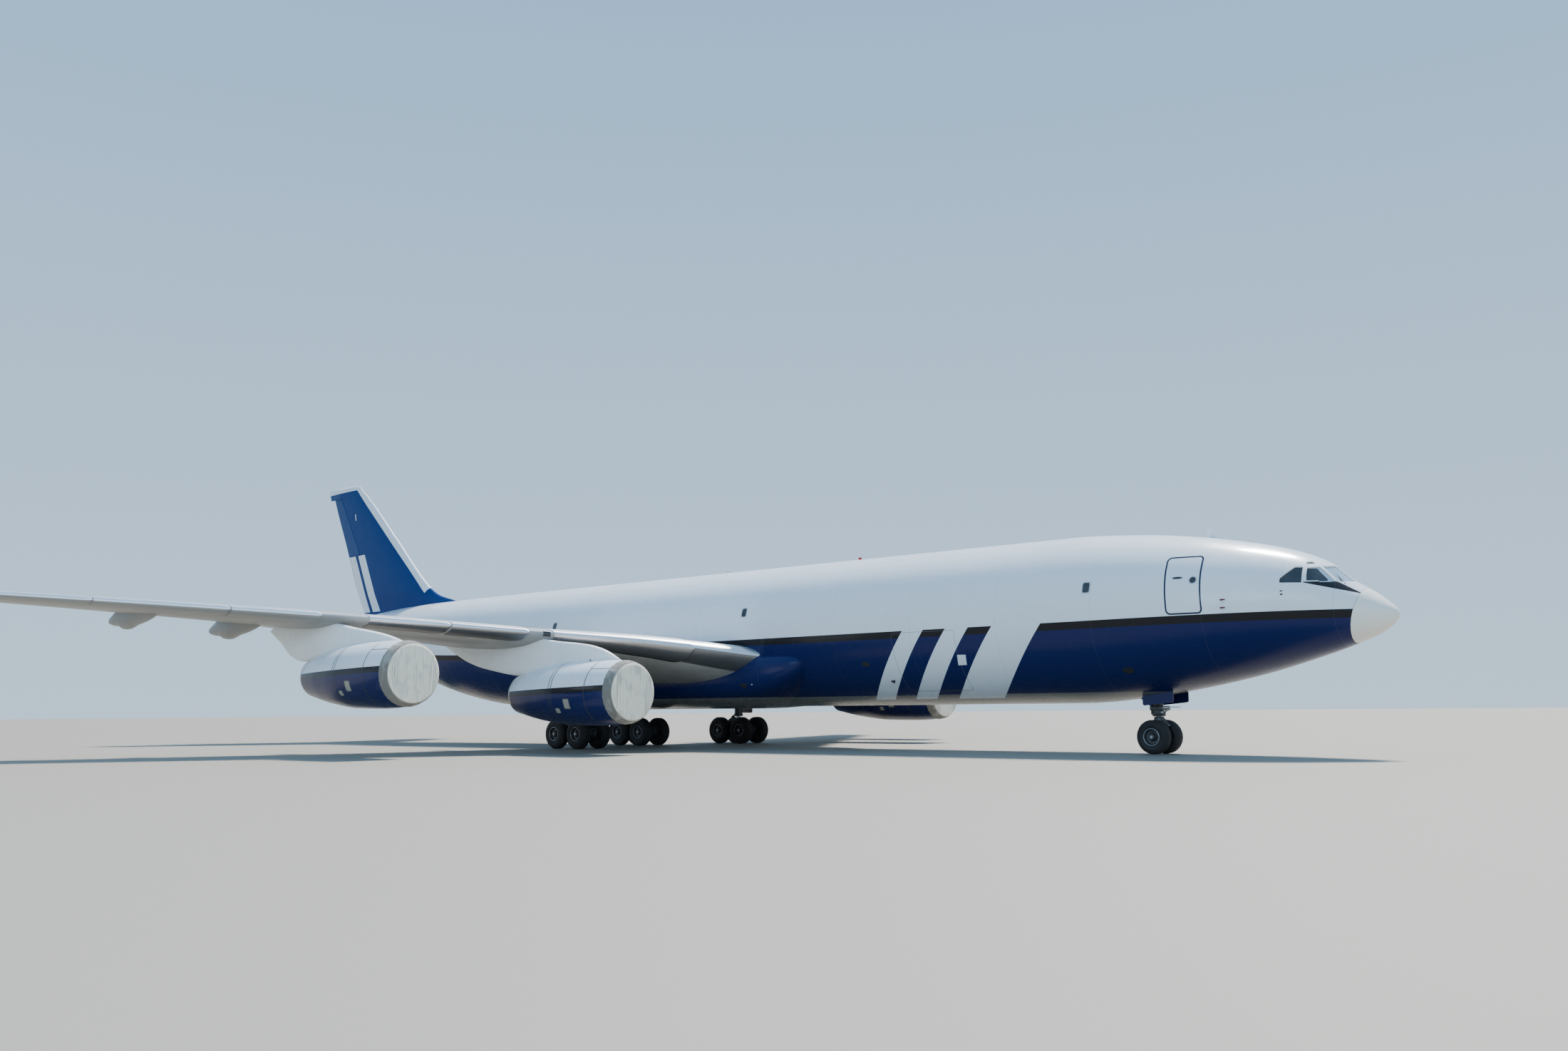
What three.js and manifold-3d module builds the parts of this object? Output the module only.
// Four-engined wide-body freighter standing on its landing gear, as a half-size model.
// Sizes below are those of the full-size aircraft in metres. Each finished shape is scaled to the
// half-size model in millimetres. +X is the nose, +Y the left (port) side and +Z up. The origin is on
// the ground, half way along the aircraft and on its plane of symmetry.
import * as THREE from "three";
import { mergeVertices } from "three/addons/utils/BufferGeometryUtils.js";
import Module from "manifold-3d";

const wasm = await Module();
wasm.setup();

// Model scale and general clearances
const METRE = 500;
const WELD = 1e-5;
const GAP = 0.0006;
const MOVING_GAP = 0.022;
const TURN = Math.PI * 2;

// Fuselage
const HALF_LENGTH = 31.97;
const AXIS_HEIGHT = 4.82;
const BODY_RADIUS = 3.04;
const BODY_TOP = AXIS_HEIGHT + BODY_RADIUS;
const BODY_BOTTOM = AXIS_HEIGHT - BODY_RADIUS;
const BODY_SIDES = 40;
const NOSE_JOINT = 22.4;
const WING_FRONT_JOINT = 9.6;
const TAIL_JOINT = -10;
// The radome's seam lies square to the drooping nose: its place at a height, and its lean per metre up
const RADOME_SEAM = { x: 30.9, z: 4.6, lean: 0.26 };

// Rows from the nose tip back: distance from the tip, top, bottom and half width
const NOSE_ROWS = [
  [0, 4.5, 4.48, 0.01],
  [0.05, 4.62, 4.35, 0.17],
  [0.25, 4.83, 4.12, 0.45],
  [0.7, 5.2, 3.84, 0.84],
  [1.3, 5.6, 3.6, 1.22],
  [2.1, 6.28, 3.33, 1.66],
  [3, 6.69, 3.06, 2.04],
  [3.9, 6.96, 2.81, 2.33],
  [5, 7.21, 2.55, 2.59],
  [6.5, 7.48, 2.26, 2.82],
  [8.5, 7.72, 1.96, 2.98],
  [11, BODY_TOP, BODY_BOTTOM, BODY_RADIUS],
  [23, BODY_TOP, BODY_BOTTOM, BODY_RADIUS],
].map(([fromTip, top, bottom, halfWidth]) => ({ x: HALF_LENGTH - fromTip, top, bottom, halfWidth }));

// Rows of the tail cone: place along X, top, bottom and half width
const TAIL_ROWS = [
  [12, BODY_TOP, BODY_BOTTOM, BODY_RADIUS],
  [-9, BODY_TOP, BODY_BOTTOM, BODY_RADIUS],
  [-13, 7.86, 2.02, 2.99],
  [-16, 7.85, 2.46, 2.88],
  [-19, 7.83, 3.17, 2.62],
  [-22, 7.77, 4.12, 2.18],
  [-25, 7.62, 5.12, 1.58],
  [-27, 7.42, 5.82, 1.0],
  [-27.95, 7.2, 6.2, 0.5],
].map(([x, top, bottom, halfWidth]) => ({ x, top, bottom, halfWidth }));

// Main-deck hold: half of its section, from the floor up, as [half width, height]
const HOLD_FLOOR = 4.62;
const HOLD_SECTION = [
  [2.7, HOLD_FLOOR],
  [2.7, 5.7],
  [1.62, 7.2],
];
const HOLD_FRONT = 22.1;
const HOLD_BACK = -9.4;

// Cargo door on the left side: angles are measured up from the horizontal through the body axis
const CARGO_DOOR = {
  front: 20.75,
  back: 15.9,
  lowAngle: -0.052,
  highAngle: 0.892,
  thickness: 0.18,
  edgeGap: 0.012,
  hingeStandOff: 0.03,
  knuckleRadius: 0.05,
  knuckles: 7,
};

// Crew doors on both sides of the nose
const CREW_DOOR = { front: 26.62, back: 25.47, sill: 4.67, head: 6.55, corner: 0.17, depth: 0.12 };

// Flight-deck glazing. The side panes are drawn as seen from the side, [x, z], the front panes as seen
// from the front, [y, z]. Each is sunk by the same depth below the skin.
const PANE_DEPTH = 0.05;
const SIDE_PANES = [
  [[28.82, 5.53], [28.82, 5.66], [29.26, 6.02], [29.6, 6.02], [29.56, 5.53]],
  [[29.66, 5.53], [29.7, 6.0], [29.98, 6.0], [30.3, 5.53]],
  [[29.66, 6.12], [29.72, 6.2], [29.86, 6.2], [29.92, 6.12]],
];
const FRONT_PANES = [
  [[0.05, 5.56], [0.05, 6.1], [0.78, 6.06], [0.86, 5.52]],
  [[0.95, 5.52], [0.87, 6.05], [1.16, 6.01], [1.36, 5.5]],
];
const FRONT_PANE_START = 29.7;

// Belly fairing rows: place along X, bottom, half width and height of its upper edge
const FAIRING_ROWS = [
  [9.6, 3.2, 2.6, 3.9],
  [9.35, 2.8, 2.95, 4.1],
  [8.85, 2.42, 3.15, 4.25],
  [8, 2.08, 3.27, 4.3],
  [6.8, 1.8, 3.33, 4.35],
  [5, 1.7, 3.38, 4.4],
  [1, 1.7, 3.42, 4.5],
  [-4, 1.7, 3.3, 4.4],
  [-7.5, 1.74, 2.9, 3.9],
  [-9.6, 1.8, 2.1, 3.1],
].map(([x, bottom, halfWidth, top]) => ({ x, bottom, halfWidth, top }));

// Wing and tailplane sections are fuller below than above
const UPPER_FULLNESS = 0.85;
const LOWER_FULLNESS = 1.2;

// Wing rows: distance from the symmetry plane, height of the leading edge, chord, thickness ratio, twist
const WING_SWEEP = 0.6494;
const WING_ROOT_LEAD = 9.29;
const WING_ROWS = [
  [0.5, 3.5, 11.97, 0.15, 0.05],
  [3.04, 3.87, 10.81, 0.148, 0.05],
  [7, 4.42, 9.01, 0.122, 0.035],
  [10.3, 4.73, 7.5, 0.104, 0.025],
  [16.5, 5.29, 5.94, 0.105, 0.01],
  [22.5, 5.73, 4.43, 0.105, 0],
  [28.83, 6.14, 2.84, 0.1, -0.01],
].map(([out, z, chord, ratio, twist]) => ({ out, z, chord, ratio, twist }));
const WING_SIDES = 18;
const WINGLET_ROWS = [
  [28.5, 6.02, -9.8, 2.4, 0.08],
  [29.2, 6.5, -10.3, 2.1, 0.08],
  [29.5, 7.1, -10.8, 1.8, 0.075],
  [30.05, 8.5, -12.1, 1.0, 0.07],
].map(([out, z, leadX, chord, ratio]) => ({ out, z, leadX, chord, ratio }));

// Flap-track fairings: place out along the wing, length, half width, half depth and reach behind the flap
const TRACK_FAIRINGS = [
  [7.6, 5.6, 0.3, 0.5, 1.3],
  [13.5, 5, 0.29, 0.5, 1.2],
  [18.4, 4.4, 0.27, 0.5, 1.05],
  [22, 4.3, 0.25, 0.49, 0.75],
].map(([out, length, halfWidth, halfDepth, behind]) => ({ out, length, halfWidth, halfDepth, behind }));

// Control surfaces on the wing and tail: the hinge line as a share of the chord, and the hinge ends
const AILERON = { inner: 23.6, outer: 28.2, share: 0.74 };
const ELEVATOR = { inner: 2.3, outer: 9.7, share: 0.7 };
const RUDDERS = [
  ["rudder_lower", 8.75, 11.32],
  ["rudder_upper", 11.36, 15.03],
];
const RUDDER_SHARE = 0.76;

// Tailplane and fin
const TAILPLANE_ROWS = [
  [0.2, 5.98, -20.35, 6.9, 0.1],
  [3, 6.3, -22.5, 5.7, 0.1],
  [10.28, 7.25, -28.1, 2.35, 0.09],
].map(([out, z, leadX, chord, ratio]) => ({ out, z, leadX, chord, ratio }));
const FIN_ROWS = [
  [7.0, -15.6, 11.95, 0.03],
  [7.87, -18.4, 9.7, 0.05],
  [8.3, -20.1, 8.3, 0.07],
  [8.77, -20.98, 7.7, 0.09],
  [12, -24.73, 5.6, 0.1],
  [15.2, -28.45, 3.5, 0.1],
  [15.72, -29.3, 2.67, 0.09],
].map(([z, leadX, chord, ratio]) => ({ z, leadX, chord, ratio }));

// Engines: the place of the inlet centre, and the nacelle's shape in distances behind the inlet
const ENGINES = [
  ["inner", 10.2, 7.6, 2.33],
  ["outer", 16.75, 3.12, 3.03],
];
const NACELLE_SIDES = 24;
const NACELLE_OUTSIDE = [
  [0, 1.04],
  [0.1, 1.11],
  [0.36, 1.17],
  [0.8, 1.22],
  [1.7, 1.25],
  [3.3, 1.23],
  [5, 1.06],
  [6.55, 0.78],
];
const DUCT_RADIUS = 0.93;
const NOZZLE_RADIUS = 0.74;
const NOZZLE_END = 6.55;
const ENGINE_FRONT = 1.5;
const ENGINE_BACK = 5.6;
const TAIL_CONE_END = 7.15;
const COVER_DEPTH = 0.36;
const COVER_THICKNESS = 0.025;
const PYLON_THICKNESS = 0.46;
// Pylon outlines, as distances behind the inlet and above its centre: the upper edge runs into the wing, and
// the lower edge comes back from the wing over the nozzle
const PYLON_OUTLINES = {
  inner: [
    [3, 0.9], [0.62, 1.12], [0.66, 1.28], [1.7, 1.67], [2.6, 1.88], [4.4, 2.08], [6.3, 2.3],
    [11.6, 2.2], [12, 2.1], [11.3, 1.79], [10.2, 1.36], [8.7, 1.02], [6.5, 0.74],
  ],
  outer: [
    [3, 0.9], [0.62, 1.12], [0.66, 1.2], [1.7, 1.45], [2.7, 1.64], [4.1, 1.85], [5.6, 2.1],
    [9.9, 2.22], [10.5, 1.95], [9.4, 1.36], [8.6, 0.86], [7.6, 0.64], [6.5, 0.74],
  ],
};

// Landing gear
const TYRE_RADIUS = 0.65;
const TYRE_WIDTH = 0.48;
const TYRE_SIDES = 20;
const BAR_SIDES = 14;
const RIM_RADIUS = 0.3;
const AXLE_RADIUS = 0.085;
const MAIN_TWIN = 0.565;
const NOSE_TWIN = 0.45;
const NOSE_TYRE_RADIUS = 0.59;
const AXLE_STEP = 0.73;
const BEAM_TOP = TYRE_RADIUS + 0.24;
const BOGIES = [
  ["right", -1.51, -5.2],
  ["left", -1.51, 5.2],
  ["centre", -3.19, 0],
];
const NOSE_GEAR_X = 23.71;
const FORK_TOP = 1.32;
// Nose gear door as seen from the side: its lower edge rises towards the nose
const NOSE_DOOR = {
  back: 23.44,
  front: 24.76,
  lowBack: 1.67,
  lowFront: 1.79,
  top: 2.4,
  out: 0.62,
  thickness: 0.04,
};
const MAIN_DOOR = { length: 1.1, thickness: 0.05, height: 2.4, out: 0.42, middle: 2.7 };
const JACK_PAD_RADIUS = 0.14;
const WING_JACK = { out: 8.2, share: 0.45, drop: 0.5 };

// Finishes: colour, roughness and metalness of each material
const FINISHES = {
  white_paint: [0xeef1f6, 0.25, 0],
  blue_paint: [0x12348c, 0.25, 0],
  grey_paint: [0xb9bdc2, 0.35, 0],
  gear_steel: [0x9aa0a6, 0.4, 0.7],
  engine_metal: [0x5a5c60, 0.45, 0.8],
  radome_paint: [0xf3efe2, 0.35, 0],
  cover_cloth: [0xd9d6cc, 0.9, 0],
  tyre_rubber: [0x1b1b1c, 0.85, 0],
};
const materials = {};
for (const [name, [color, roughness, metalness]] of Object.entries(FINISHES)) {
  materials[name] = new THREE.MeshStandardMaterial({ name, color, roughness, metalness });
}

// Shapes as closed solids

// A closed mesh, its shared corners welded and its faces turned out, as a solid for cutting and joining
function solid(geometry) {
  const bare = geometry.clone();
  bare.deleteAttribute("normal");
  bare.deleteAttribute("uv");
  const welded = mergeVertices(bare, WELD);
  const spot = welded.attributes.position;
  const corner = [new THREE.Vector3(), new THREE.Vector3(), new THREE.Vector3()];
  const triangles = [];
  let volume = 0;
  for (let i = 0; i < welded.index.count; i += 3) {
    const [a, b, c] = [0, 1, 2].map((k) => welded.index.getX(i + k));
    if (a !== b && b !== c && c !== a) {
      [a, b, c].forEach((index, k) => corner[k].fromBufferAttribute(spot, index));
      volume += corner[0].dot(corner[1].clone().cross(corner[2]));
      triangles.push([a, b, c]);
    }
  }
  const turned = volume < 0 ? triangles.map(([a, b, c]) => [a, c, b]) : triangles;
  const mesh = new wasm.Mesh({
    numProp: 3,
    vertProperties: Float32Array.from(spot.array),
    triVerts: Uint32Array.from(turned.flat()),
  });
  return new wasm.Manifold(mesh);
}

// A solid as a three.js mesh in model millimetres
function piece(name, body, finish) {
  const mesh = body.getMesh();
  const geometry = new THREE.BufferGeometry();
  const corners = [];
  for (let i = 0; i < mesh.vertProperties.length; i += mesh.numProp) {
    corners.push(...[0, 1, 2].map((k) => mesh.vertProperties[i + k] * METRE));
  }
  geometry.setAttribute("position", new THREE.Float32BufferAttribute(corners, 3));
  geometry.setIndex(Array.from(mesh.triVerts));
  const shown = new THREE.Mesh(geometry, materials[finish]);
  shown.name = name;
  return shown;
}

// A skin through sections: a cylinder whose rings are moved to the rows
function lofted(rows, sides, place) {
  const steps = rows.length - 1;
  const geometry = new THREE.CylinderGeometry(1, 1, steps, sides, steps);
  const spot = geometry.attributes.position;
  for (let i = 0; i < spot.count; i += 1) {
    const row = rows[Math.round(steps / 2 - spot.getY(i))];
    const angle = Math.atan2(spot.getX(i), spot.getZ(i));
    const share = Math.min(1, Math.hypot(spot.getX(i), spot.getZ(i)));
    spot.setXYZ(i, ...place(row, angle, share));
  }
  return solid(geometry);
}

// One section of the body: an ellipse between its top and bottom, drawn in by an inset if one is given
function bodyPoint(inset = 0) {
  return (row, angle, share) => {
    const middle = (row.top + row.bottom) / 2;
    const rise = Math.max(0.004, (row.top - row.bottom) / 2 - inset);
    const width = Math.max(0.004, row.halfWidth - inset);
    return [row.x, Math.sin(angle) * width * share, middle + Math.cos(angle) * rise * share];
  };
}

// Half thickness of a streamlined section at a share of its chord, for a thickness ratio of one
function sectionHalf(share) {
  const s = Math.min(1, Math.max(0, share));
  return 5 * (0.2969 * Math.sqrt(s) - 0.126 * s - 0.3516 * s ** 2 + 0.2843 * s ** 3 - 0.1036 * s ** 4);
}

function box(sizeX, sizeY, sizeZ, x, y, z) {
  return solid(new THREE.BoxGeometry(sizeX, sizeY, sizeZ).translate(x, y, z));
}

// A round bar between two points, with a radius at each end and its first corner turned by an angle
function bar(from, to, fromRadius, toRadius = fromRadius, turn = 0) {
  const along = to.clone().sub(from);
  const length = along.length();
  const geometry = new THREE.CylinderGeometry(toRadius, fromRadius, length, BAR_SIDES, 1, false, turn);
  geometry.translate(0, length / 2, 0);
  const lean = new THREE.Quaternion().setFromUnitVectors(new THREE.Vector3(0, 1, 0), along.normalize());
  geometry.applyQuaternion(lean);
  return solid(geometry.translate(from.x, from.y, from.z));
}

// A list of corners as a shape; a shape stays as it is
function asShape(outline) {
  if (outline instanceof THREE.Shape) {
    return outline;
  }
  return new THREE.Shape(outline.map((p) => new THREE.Vector2(...p)));
}

// An outline drawn in the X-Z plane, extruded along Y between two places
function sidePrism(outline, fromY, toY) {
  const options = { depth: toY - fromY, bevelEnabled: false, curveSegments: 5 };
  const geometry = new THREE.ExtrudeGeometry(asShape(outline), options);
  return solid(geometry.rotateX(Math.PI / 2).translate(0, toY, 0));
}

// An outline drawn in the Y-Z plane, extruded along X between two places
function frontPrism(outline, fromX, toX) {
  const options = { depth: toX - fromX, bevelEnabled: false, curveSegments: 24 };
  const geometry = new THREE.ExtrudeGeometry(asShape(outline), options);
  const turn = new THREE.Matrix4().makeBasis(
    new THREE.Vector3(0, 1, 0),
    new THREE.Vector3(0, 0, 1),
    new THREE.Vector3(1, 0, 0),
  );
  return solid(geometry.applyMatrix4(turn).translate(fromX, 0, 0));
}

// The same solid on the other side of the symmetry plane
function mirrored(body) {
  const mesh = body.getMesh();
  const geometry = new THREE.BufferGeometry();
  geometry.setAttribute("position", new THREE.BufferAttribute(Float32Array.from(mesh.vertProperties), 3));
  geometry.setIndex(Array.from(mesh.triVerts));
  return solid(geometry.scale(1, -1, 1));
}

// A body loft whose left half mirrors its right half, facet by facet
function bodyLoft(rows, sides, place) {
  const right = lofted(rows, sides, place).intersect(box(80, 8, 40, 0, -4, 8));
  return right.add(mirrored(right));
}

// The stretch of a solid between two places along X
function between(body, back, front) {
  return body.intersect(box(front - back, 20, 30, (front + back) / 2, 0, 8));
}

// Fuselage

const noseForm = bodyLoft(NOSE_ROWS, BODY_SIDES, bodyPoint());
const noseInside = bodyLoft(NOSE_ROWS, BODY_SIDES, bodyPoint(PANE_DEPTH));
const tailForm = bodyLoft(TAIL_ROWS, BODY_SIDES, bodyPoint());
const bodyWithGap = bodyLoft(TAIL_ROWS, BODY_SIDES, bodyPoint(-GAP));

// The space of the main-deck hold
function holdSpace() {
  const right = HOLD_SECTION.map(([y, z]) => [-y, z]).reverse();
  return frontPrism([...HOLD_SECTION, ...right], HOLD_BACK, HOLD_FRONT);
}

// The outline of a crew door, drawn in by an inset
function crewDoorOutline(inset) {
  const { front, back, sill, head, corner } = CREW_DOOR;
  const shape = new THREE.Shape();
  const [left, right] = [back + inset, front - inset];
  const [low, high, r] = [sill + inset, head - inset, corner - inset];
  shape.moveTo(left + r, low);
  shape.lineTo(right - r, low);
  shape.absarc(right - r, low + r, r, -Math.PI / 2, 0, false);
  shape.absarc(right - r, high - r, r, 0, Math.PI / 2, false);
  shape.absarc(left + r, high - r, r, Math.PI / 2, Math.PI, false);
  shape.absarc(left + r, low + r, r, Math.PI, Math.PI * 1.5, false);
  return shape;
}

// Everything sunk into the nose for the panes, on the right side only
function paneRecesses() {
  let cut = sidePrism(SIDE_PANES[0], -3.2, -0.4);
  for (const outline of SIDE_PANES.slice(1)) {
    cut = cut.add(sidePrism(outline, -3.2, -0.4));
  }
  for (const outline of FRONT_PANES) {
    cut = cut.add(frontPrism(outline.map(([y, z]) => [-y, z]), FRONT_PANE_START, HALF_LENGTH));
  }
  return cut.subtract(noseInside);
}

const doorInside = bodyLoft(NOSE_ROWS, BODY_SIDES, bodyPoint(CREW_DOOR.depth));
const crewDoorwayRight = sidePrism(crewDoorOutline(0), -3.3, -1).subtract(doorInside);
const crewDoorRight = noseForm
  .intersect(sidePrism(crewDoorOutline(MOVING_GAP / 4), -3.3, -1))
  .subtract(bodyLoft(NOSE_ROWS, BODY_SIDES, bodyPoint(CREW_DOOR.depth - GAP)));

// Everything in front of the radome's seam, moved forward by a gap
function aheadOfSeam(gap) {
  const [low, high, front] = [1, 9, HALF_LENGTH + 1];
  const seamAt = (z) => RADOME_SEAM.x + gap + RADOME_SEAM.lean * (z - RADOME_SEAM.z);
  return sidePrism([[seamAt(low), low], [front, low], [front, high], [seamAt(high), high]], -4, 4);
}

const radome = noseForm.intersect(aheadOfSeam(GAP));
const panes = paneRecesses();
const nosePad = bar(
  new THREE.Vector3(NOSE_JOINT + 0.4, 0, 2.4),
  new THREE.Vector3(NOSE_JOINT + 0.4, 0, BODY_BOTTOM + 0.02),
  JACK_PAD_RADIUS,
);
const noseSection = between(noseForm, NOSE_JOINT + GAP / 2, HALF_LENGTH + 1)
  .subtract(aheadOfSeam(0))
  .subtract(panes.add(mirrored(panes)))
  .subtract(crewDoorwayRight.add(mirrored(crewDoorwayRight)))
  .add(nosePad);

// A slice of a ring round the body axis, between two angles and two radii
function ringSector(innerRadius, outerRadius, lowAngle, highAngle, back, front) {
  const shape = new THREE.Shape();
  shape.absarc(0, 0, outerRadius, lowAngle, highAngle, false);
  shape.absarc(0, 0, innerRadius, highAngle, lowAngle, true);
  const outline = shape.getPoints(10).map((p) => [p.x, p.y + AXIS_HEIGHT]);
  return frontPrism(outline, back, front);
}

const hingeAngle = CARGO_DOOR.highAngle + CARGO_DOOR.edgeGap / 2 / BODY_RADIUS;
const hingeRadius = BODY_RADIUS + CARGO_DOOR.hingeStandOff;
const cargoHinge = {
  y: Math.cos(hingeAngle) * hingeRadius,
  z: AXIS_HEIGHT + Math.sin(hingeAngle) * hingeRadius,
};

// Every second knuckle along the cargo door's hinge, starting at the given one
function knuckles(first, radius, endGap) {
  const pitch = (CARGO_DOOR.front - CARGO_DOOR.back - 0.2) / CARGO_DOOR.knuckles;
  const lengths = [];
  for (let i = first; i < CARGO_DOOR.knuckles; i += 2) {
    const start = CARGO_DOOR.back + 0.1 + i * pitch;
    lengths.push([start + endGap, start + pitch - endGap]);
  }
  return lengths
    .map(([from, to]) => bar(
      new THREE.Vector3(from, cargoHinge.y, cargoHinge.z),
      new THREE.Vector3(to, cargoHinge.y, cargoHinge.z),
      radius,
    ))
    .reduce((all, one) => all.add(one));
}

const frameKnuckles = knuckles(0, CARGO_DOOR.knuckleRadius, GAP / 2);
const doorKnuckles = knuckles(1, CARGO_DOOR.knuckleRadius, GAP / 2);
const frameKnuckleRoom = knuckles(0, CARGO_DOOR.knuckleRadius + CARGO_DOOR.edgeGap, 0);
const doorKnuckleRoom = knuckles(1, CARGO_DOOR.knuckleRadius + CARGO_DOOR.edgeGap, 0);
const edgeAngle = CARGO_DOOR.edgeGap / BODY_RADIUS;
const cargoDoorway = ringSector(
  1.9,
  3.4,
  CARGO_DOOR.lowAngle - edgeAngle,
  CARGO_DOOR.highAngle + edgeAngle,
  CARGO_DOOR.back - CARGO_DOOR.edgeGap,
  CARGO_DOOR.front + CARGO_DOOR.edgeGap,
);
const cargoDoorLeaf = ringSector(
  BODY_RADIUS - CARGO_DOOR.thickness,
  3.4,
  CARGO_DOOR.lowAngle,
  CARGO_DOOR.highAngle,
  CARGO_DOOR.back,
  CARGO_DOOR.front,
);
const hold = holdSpace();
const forwardShell = between(noseForm, WING_FRONT_JOINT + GAP / 2, NOSE_JOINT - GAP / 2);
const forwardSection = forwardShell
  .subtract(hold)
  .subtract(cargoDoorway)
  .subtract(doorKnuckleRoom)
  .add(frameKnuckles);
const cargoDoor = forwardShell.intersect(cargoDoorLeaf).subtract(frameKnuckleRoom).add(doorKnuckles);
const centreSection = between(tailForm, TAIL_JOINT, WING_FRONT_JOINT - GAP / 2).subtract(hold);

// Belly fairing: a broad U under the centre section

function fairingPoint(inset) {
  return (row, angle, share) => {
    const middle = (row.top + row.bottom) / 2;
    const rise = (row.top - row.bottom) / 2 - inset;
    const squareness = 0.72;
    const spread = (value) => Math.sign(value) * Math.abs(value) ** squareness;
    const y = spread(Math.sin(angle)) * (row.halfWidth - inset) * share;
    return [row.x, y, middle + spread(Math.cos(angle)) * rise * share];
  };
}
const fairingForm = bodyLoft(FAIRING_ROWS, 40, fairingPoint(0));
const fairingWithGap = bodyLoft(FAIRING_ROWS, 40, fairingPoint(-GAP));

// Wings, tailplanes and fin, all built on the right side

function wingLead(out) {
  return WING_ROOT_LEAD - out * WING_SWEEP;
}

// The value of one column of a table of rows, at a place between them
function columnAt(rows, key, place, column) {
  const after = rows.findIndex((row) => row[key] >= place);
  const [a, b] = [rows[Math.max(0, after - 1)], rows[after]];
  const share = a === b ? 0 : (place - a[key]) / (b[key] - a[key]);
  return a[column] + (b[column] - a[column]) * share;
}

// One point of a wing section; the lower side is fuller than the upper
function wingPoint(row, angle, share) {
  const chordShare = 0.5 + 0.5 * Math.cos(angle) * share;
  const side = Math.sign(Math.sin(angle));
  const fullness = side >= 0 ? UPPER_FULLNESS : LOWER_FULLNESS;
  const half = sectionHalf(chordShare) * row.ratio * row.chord * fullness * side * share;
  const lead = row.leadX ?? wingLead(row.out);
  const drop = (row.twist ?? 0) * chordShare * row.chord;
  return [lead - chordShare * row.chord, -row.out, row.z - drop + half];
}

// One point of the fin, which is the same on both sides
function finPoint(row, angle, share) {
  const chordShare = 0.5 + 0.5 * Math.cos(angle) * share;
  const half = sectionHalf(chordShare) * row.ratio * row.chord * Math.sign(Math.sin(angle)) * share;
  return [row.leadX - chordShare * row.chord, half, row.z];
}

const wingForm = lofted(WING_ROWS, WING_SIDES, wingPoint);
const tailplaneForm = lofted(TAILPLANE_ROWS, WING_SIDES, wingPoint);
const finForm = lofted(FIN_ROWS, WING_SIDES, finPoint);

// A point on the middle surface of a wing-like table, at a share of the chord
function wingMiddle(rows, out, share) {
  const chord = columnAt(rows, "out", out, "chord");
  const twist = rows[0].twist === undefined ? 0 : columnAt(rows, "out", out, "twist");
  const lead = rows[0].leadX === undefined ? wingLead(out) : columnAt(rows, "out", out, "leadX");
  const lean = (UPPER_FULLNESS - LOWER_FULLNESS) / 2;
  const lift = lean * sectionHalf(share) * columnAt(rows, "out", out, "ratio") * chord;
  const z = columnAt(rows, "out", out, "z") - twist * share * chord + lift;
  return new THREE.Vector3(lead - share * chord, -out, z);
}

function finMiddle(z) {
  const chord = columnAt(FIN_ROWS, "z", z, "chord");
  return new THREE.Vector3(columnAt(FIN_ROWS, "z", z, "leadX") - RUDDER_SHARE * chord, 0, z);
}

// Half thickness of a section table at a place along it, at a share of the chord
function halfThickness(rows, key, place, share) {
  return sectionHalf(share) * columnAt(rows, key, place, "ratio") * columnAt(rows, key, place, "chord");
}

// A surface hinged between two points inside a wing: a round nose turns in a round cove, square to the
// hinge at both ends, and a short boss at each end carries the hinge
function hinged(form, start, end, startRadius, endRadius) {
  const reach = 4;
  const tall = 3;
  const endGap = MOVING_GAP;
  const span = start.distanceTo(end);
  const along = end.clone().sub(start).normalize();
  const aft = new THREE.Vector3(-1, 0, 0).addScaledVector(along, along.x).normalize();
  const across = along.clone().cross(aft);
  const frame = new THREE.Matrix4().makeBasis(along, aft, across).setPosition(start);
  const placedBox = (from, to) => solid(new THREE.BoxGeometry(to - from, reach, tall)
    .translate((from + to) / 2, reach / 2, 0).applyMatrix4(frame));
  const rod = (from, to, extra) => bar(
    start.clone().addScaledVector(along, from),
    start.clone().addScaledVector(along, to),
    startRadius + (endRadius - startRadius) * (from / span) + extra,
    startRadius + (endRadius - startRadius) * (to / span) + extra,
  );
  const boss = bar(
    start.clone().addScaledVector(along, GAP),
    start.clone().addScaledVector(along, span - GAP),
    Math.min(startRadius, endRadius) * 0.6,
  );
  const room = placedBox(0, span).add(rod(0, span, MOVING_GAP));
  const surface = form
    .intersect(placedBox(endGap, span - endGap))
    .add(rod(endGap, span - endGap, 0))
    .add(boss);
  return { room, surface };
}

const aileron = hinged(
  wingForm,
  wingMiddle(WING_ROWS, AILERON.inner, AILERON.share),
  wingMiddle(WING_ROWS, AILERON.outer, AILERON.share),
  halfThickness(WING_ROWS, "out", AILERON.inner, AILERON.share),
  halfThickness(WING_ROWS, "out", AILERON.outer, AILERON.share),
);
const elevator = hinged(
  tailplaneForm,
  wingMiddle(TAILPLANE_ROWS, ELEVATOR.inner, ELEVATOR.share),
  wingMiddle(TAILPLANE_ROWS, ELEVATOR.outer, ELEVATOR.share),
  halfThickness(TAILPLANE_ROWS, "out", ELEVATOR.inner, ELEVATOR.share),
  halfThickness(TAILPLANE_ROWS, "out", ELEVATOR.outer, ELEVATOR.share),
);
const rudders = RUDDERS.map(([name, low, high]) => ({
  name,
  ...hinged(
    finForm,
    finMiddle(low),
    finMiddle(high),
    halfThickness(FIN_ROWS, "z", low, RUDDER_SHARE),
    halfThickness(FIN_ROWS, "z", high, RUDDER_SHARE),
  ),
}));

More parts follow.
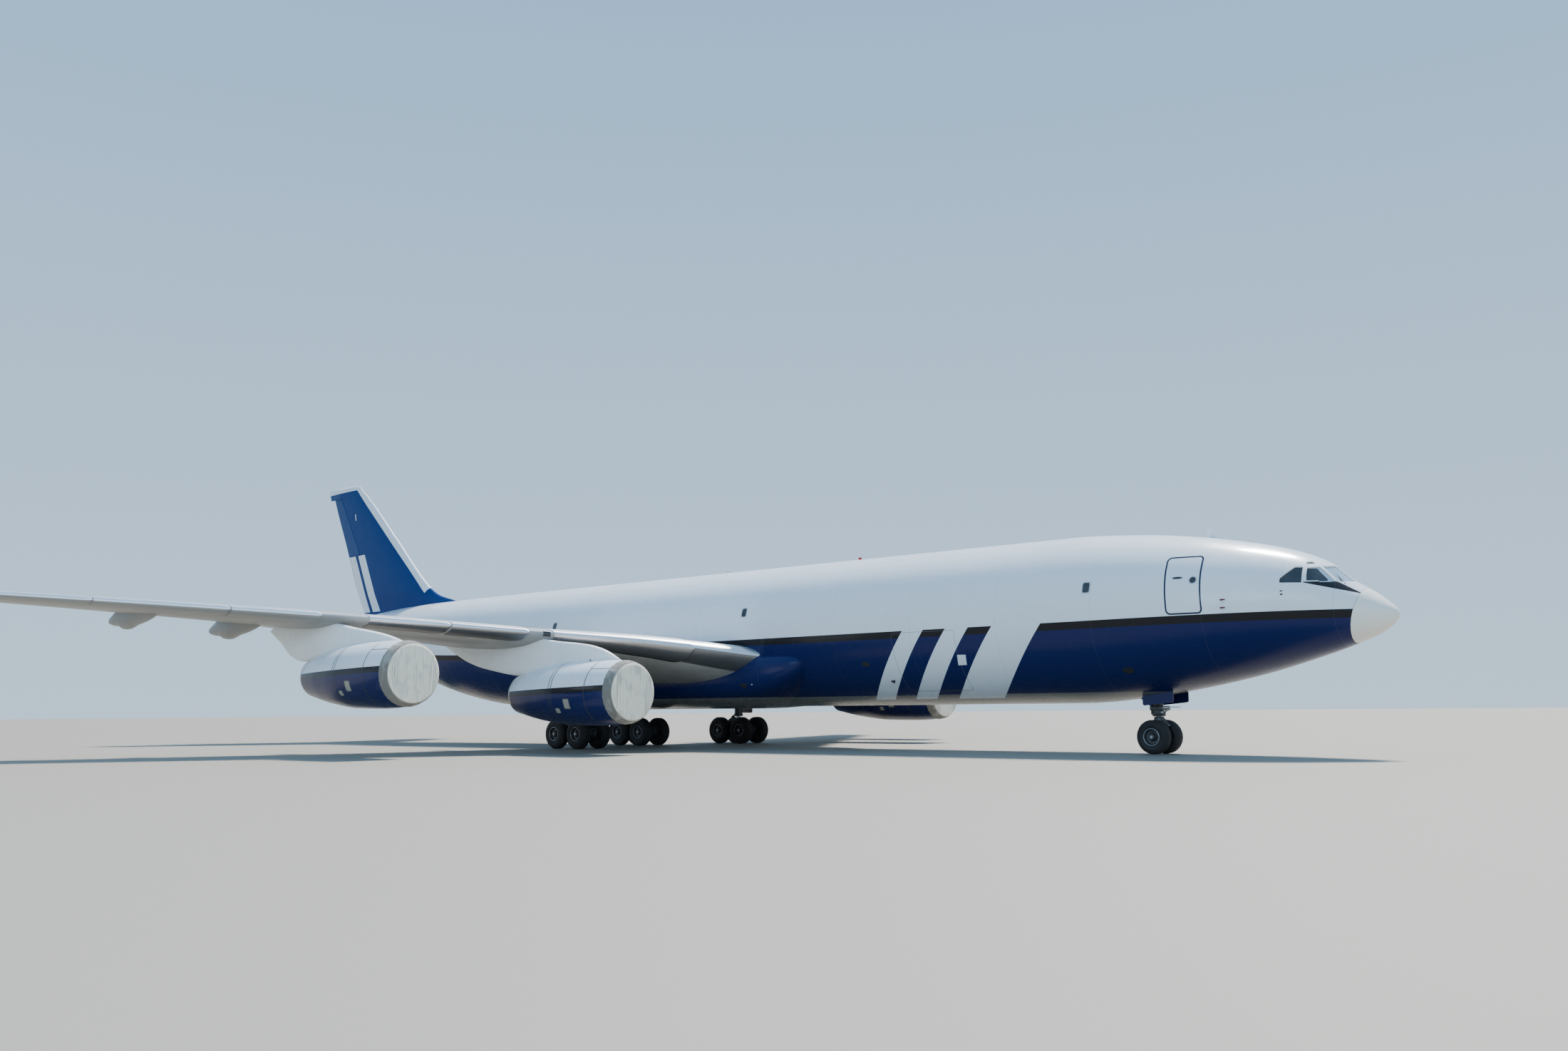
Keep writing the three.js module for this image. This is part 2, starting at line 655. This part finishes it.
// A canoe under the wing, over one flap track
function trackFairing({ out, length, halfWidth, halfDepth, behind }) {
  const trail = wingMiddle(WING_ROWS, out, 1);
  const geometry = new THREE.SphereGeometry(1, 10, 6).rotateZ(Math.PI / 2);
  geometry.scale(length / 2, halfWidth, halfDepth);
  return solid(geometry.translate(trail.x - behind + length / 2, -out, trail.z - halfDepth * 0.55));
}

const wingPad = (() => {
  const inside = wingMiddle(WING_ROWS, WING_JACK.out, WING_JACK.share);
  const foot = inside.clone().setZ(inside.z - WING_JACK.drop);
  return bar(inside, foot, JACK_PAD_RADIUS);
})();
const wing = [wingPad, ...TRACK_FAIRINGS.map(trackFairing)]
  .reduce((all, one) => all.add(one), wingForm)
  .subtract(bodyWithGap)
  .subtract(fairingWithGap)
  .subtract(aileron.room);
const fairing = fairingForm.subtract(bodyWithGap);
const wingletForm = lofted(WINGLET_ROWS, 16, wingPoint);
const winglet = wingletForm.subtract(box(4, 4, 4, -11, -28.83 - GAP + 2, 6));

const tailplane = tailplaneForm.subtract(bodyWithGap).subtract(elevator.room);
const fin = finForm.subtract(bodyWithGap).subtract(rudders[0].room).subtract(rudders[1].room);
const tailSection = between(tailForm, -HALF_LENGTH, TAIL_JOINT - GAP);

// Power plants

// A profile of [distance behind the inlet, radius] turned about the engine's axis, with X forward
function turned(profile, sides = NACELLE_SIDES) {
  const points = profile.map(([behind, radius]) => new THREE.Vector2(radius, -behind));
  return solid(new THREE.LatheGeometry(points, sides).rotateZ(-Math.PI / 2));
}

function nacelleForm() {
  const inside = [
    [NOZZLE_END, NOZZLE_RADIUS],
    [ENGINE_BACK, DUCT_RADIUS],
    [0.35, DUCT_RADIUS],
    [0.07, 0.97],
    [0, 1.04],
  ];
  return turned([...NACELLE_OUTSIDE, ...inside]);
}

function engineForm() {
  const fit = DUCT_RADIUS - GAP * 2;
  return turned([
    [ENGINE_FRONT, 0],
    [ENGINE_FRONT, fit],
    [ENGINE_BACK - 1, fit],
    [ENGINE_BACK - 0.4, 0.62],
    [6.45, 0.5],
    [TAIL_CONE_END, 0.06],
    [TAIL_CONE_END, 0],
  ]);
}

// The cloth cover over the inlet: a shallow cap whose skirt lies on the nacelle's lip
function coverForm() {
  const [lip, shoulder, barrel] = NACELLE_OUTSIDE;
  const skirt = [
    [COVER_DEPTH, barrel[1] + GAP * 2],
    [COVER_DEPTH, barrel[1] + COVER_THICKNESS],
    [shoulder[0], shoulder[1] + COVER_THICKNESS + 0.015],
    [-0.05, lip[1]],
    [-0.09, 0],
  ];
  const inner = [
    [-GAP * 2, 0],
    [-GAP * 2, lip[1] + GAP * 2],
    [shoulder[0] - GAP * 3, shoulder[1] + GAP * 3],
  ];
  return turned([...inner, ...skirt]);
}

function pylonForm(row) {
  const outline = PYLON_OUTLINES[row].map(([behind, above]) => [-behind, above]);
  return sidePrism(outline, -PYLON_THICKNESS / 2, PYLON_THICKNESS / 2);
}

const nacelle = nacelleForm();
const engine = engineForm();
const intakeCover = coverForm();
const nacelleWithGap = turned([
  [-0.1, 0],
  ...NACELLE_OUTSIDE.map(([behind, radius]) => [behind, radius + GAP * 2]),
  [NOZZLE_END + 0.01, 0],
]);

// Landing gear

// A pair of tyres and rims on one axle along Y; the flats of the tyres rest on the ground
function wheelPair(radius, twin) {
  const reach = radius / Math.cos(Math.PI / TYRE_SIDES);
  const half = TYRE_WIDTH / 2;
  const wheel = [
    [-half, 0],
    [-half, reach - 0.12],
    [-half + 0.11, reach],
    [half - 0.11, reach],
    [half, reach - 0.12],
    [half, RIM_RADIUS],
    [0.12, RIM_RADIUS * 0.9],
    [0.12, 0],
  ];
  const points = wheel.map(([across, r]) => new THREE.Vector2(r, across));
  const lathe = new THREE.LatheGeometry(points, TYRE_SIDES, Math.PI / TYRE_SIDES, TURN);
  const outer = solid(lathe.clone().translate(0, twin, 0));
  const other = solid(lathe.clone().rotateZ(Math.PI).translate(0, -twin, 0));
  const axle = bar(new THREE.Vector3(0, -twin, 0), new THREE.Vector3(0, twin, 0), AXLE_RADIUS);
  return outer.add(other).add(axle);
}

// A hole along Y for an axle: its flats face the axle's corners and leave them room to turn
function axleBore(x, z) {
  const halfStep = Math.PI / BAR_SIDES;
  const radius = (AXLE_RADIUS + GAP) / Math.cos(halfStep);
  return bar(new THREE.Vector3(x, -1, z), new THREE.Vector3(x, 1, z), radius, radius, halfStep);
}

// The beam that carries two axles, with a boss for the leg
function bogieBeam() {
  const ends = [-AXLE_STEP, AXLE_STEP];
  const axleBoss = 0.17;
  const at = (x, y, z) => new THREE.Vector3(x, y, z);
  let beam = box(AXLE_STEP * 2, 0.3, 0.26, 0, 0, TYRE_RADIUS);
  for (const x of ends) {
    beam = beam.add(bar(at(x, -axleBoss, TYRE_RADIUS), at(x, axleBoss, TYRE_RADIUS), axleBoss));
  }
  beam = beam.add(bar(at(0, 0, TYRE_RADIUS), at(0, 0, BEAM_TOP), 0.15));
  for (const x of ends) {
    beam = beam.subtract(axleBore(x, TYRE_RADIUS));
  }
  return beam;
}

// The leg of a main gear: sliding tube, strut, and a brace that leans forward or inward
function mainLeg(top, braceTo) {
  const foot = BEAM_TOP + GAP;
  const strut = bar(new THREE.Vector3(0, 0, foot), new THREE.Vector3(0, 0, foot + 0.7), 0.13)
    .add(bar(new THREE.Vector3(0, 0, foot + 0.45), new THREE.Vector3(0, 0, top), 0.2))
    .add(bar(new THREE.Vector3(0, 0, foot + 0.75), braceTo, 0.08));
  return strut;
}

const mainWheels = wheelPair(TYRE_RADIUS, MAIN_TWIN);
const noseWheels = wheelPair(NOSE_TYRE_RADIUS, NOSE_TWIN);
const beam = bogieBeam();

const noseFork = bar(new THREE.Vector3(0, 0, NOSE_TYRE_RADIUS), new THREE.Vector3(0, 0, FORK_TOP - GAP), 0.11)
  .add(bar(new THREE.Vector3(0, -0.16, NOSE_TYRE_RADIUS), new THREE.Vector3(0, 0.16, NOSE_TYRE_RADIUS), 0.15))
  .subtract(axleBore(0, NOSE_TYRE_RADIUS));
const noseBellyGap = bodyLoft(NOSE_ROWS, BODY_SIDES, bodyPoint(-GAP));
const noseLeg = bar(new THREE.Vector3(NOSE_GEAR_X, 0, FORK_TOP), new THREE.Vector3(NOSE_GEAR_X, 0, 2.6), 0.17)
  .add(bar(new THREE.Vector3(NOSE_GEAR_X, 0, 1.5), new THREE.Vector3(NOSE_GEAR_X - 1.3, 0, 2.5), 0.07))
  .add(box(0.5, 0.62, 0.16, NOSE_GEAR_X + 0.05, 0, 1.58))
  .subtract(noseBellyGap);
const noseDoorOutline = [
  [NOSE_DOOR.back, NOSE_DOOR.lowBack],
  [NOSE_DOOR.front, NOSE_DOOR.lowFront],
  [NOSE_DOOR.front, NOSE_DOOR.top],
  [NOSE_DOOR.back, NOSE_DOOR.top],
];
const noseDoor = sidePrism(noseDoorOutline, -NOSE_DOOR.out, -NOSE_DOOR.out + NOSE_DOOR.thickness)
  .subtract(noseBellyGap);
const [, rightBogieX, rightBogieY] = BOGIES[0];
const legDoor = box(
  MAIN_DOOR.length,
  MAIN_DOOR.thickness,
  MAIN_DOOR.height,
  rightBogieX,
  rightBogieY - MAIN_DOOR.out,
  MAIN_DOOR.middle,
).subtract(wing.translate([0, 0, -GAP]));

// Assembly

const aircraft = new THREE.Group();

aircraft.add(piece("fuselage_nose", noseSection, "white_paint"));
aircraft.add(piece("radome", radome, "radome_paint"));
aircraft.add(piece("fuselage_forward", forwardSection, "white_paint"));
aircraft.add(piece("fuselage_centre", centreSection, "white_paint"));
aircraft.add(piece("fuselage_tail", tailSection, "white_paint"));
aircraft.add(piece("belly_fairing", fairing, "blue_paint"));
aircraft.add(piece("cargo_door", cargoDoor, "white_paint"));
aircraft.add(piece("fin", fin, "blue_paint"));
for (const rudder of rudders) {
  aircraft.add(piece(rudder.name, rudder.surface, "blue_paint"));
}

// Both sides share their shapes; the left side is the right side mirrored
for (const [side, flip] of [["right", 1], ["left", -1]]) {
  const half = new THREE.Group();
  half.scale.y = flip;
  aircraft.add(half);
  half.add(piece(`wing_${side}`, wing, "grey_paint"));
  half.add(piece(`aileron_${side}`, aileron.surface, "grey_paint"));
  half.add(piece(`winglet_${side}`, winglet, "white_paint"));
  half.add(piece(`tailplane_${side}`, tailplane, "grey_paint"));
  half.add(piece(`elevator_${side}`, elevator.surface, "grey_paint"));
  half.add(piece(`crew_door_${side}`, crewDoorRight, "white_paint"));
  half.add(piece(`nose_gear_door_${side}`, noseDoor, "blue_paint"));
  half.add(piece(`main_gear_door_${side}`, legDoor, "grey_paint"));
  for (const [row, out, inletX, inletZ] of ENGINES) {
    const mount = new THREE.Group();
    mount.position.set(inletX * METRE, -out * METRE, inletZ * METRE);
    half.add(mount);
    mount.add(piece(`nacelle_${side}_${row}`, nacelle, "white_paint"));
    mount.add(piece(`engine_${side}_${row}`, engine, "engine_metal"));
    mount.add(piece(`intake_cover_${side}_${row}`, intakeCover, "cover_cloth"));
    const wingHere = wing.translate([-inletX, out, -inletZ - GAP]);
    const pylon = pylonForm(row).subtract(nacelleWithGap).subtract(wingHere);
    mount.add(piece(`pylon_${side}_${row}`, pylon, "white_paint"));
  }
}

// Main gear: three bogies, each with a leg, a beam and two axles
for (const [name, x, y] of BOGIES) {
  const bogie = new THREE.Group();
  bogie.position.set(x * METRE, y * METRE, 0);
  aircraft.add(bogie);
  bogie.add(piece(`bogie_beam_${name}`, beam, "gear_steel"));
  for (const [end, step] of [["front", AXLE_STEP], ["rear", -AXLE_STEP]]) {
    const wheels = piece(`wheels_${name}_${end}`, mainWheels, "tyre_rubber");
    wheels.position.set(step * METRE, 0, TYRE_RADIUS * METRE);
    bogie.add(wheels);
  }
}
for (const [name, x, y] of BOGIES) {
  const inward = y === 0 ? new THREE.Vector3(1.1, 0, 2.2) : new THREE.Vector3(0.2, -Math.sign(y) * 1.7, 2.9);
  const legHere = mainLeg(y === 0 ? 2.2 : 3.7, inward).translate([x, y, 0]);
  const above = fairingForm
    .add(wing.translate([0, 0, -GAP]))
    .add(mirrored(wing).translate([0, 0, -GAP]))
    .add(fairingWithGap)
    .add(bodyWithGap);
  aircraft.add(piece(`main_leg_${name}`, legHere.subtract(above), "gear_steel"));
}

// Nose gear: the leg is fixed, the fork steers, the twin wheels turn on their axle
const steered = new THREE.Group();
steered.position.set(NOSE_GEAR_X * METRE, 0, 0);
aircraft.add(piece("nose_leg", noseLeg, "gear_steel"));
aircraft.add(steered);
steered.add(piece("nose_fork", noseFork, "gear_steel"));
const noseWheelPair = piece("nose_wheels", noseWheels, "tyre_rubber");
noseWheelPair.position.z = NOSE_TYRE_RADIUS * METRE;
steered.add(noseWheelPair);

export default aircraft;
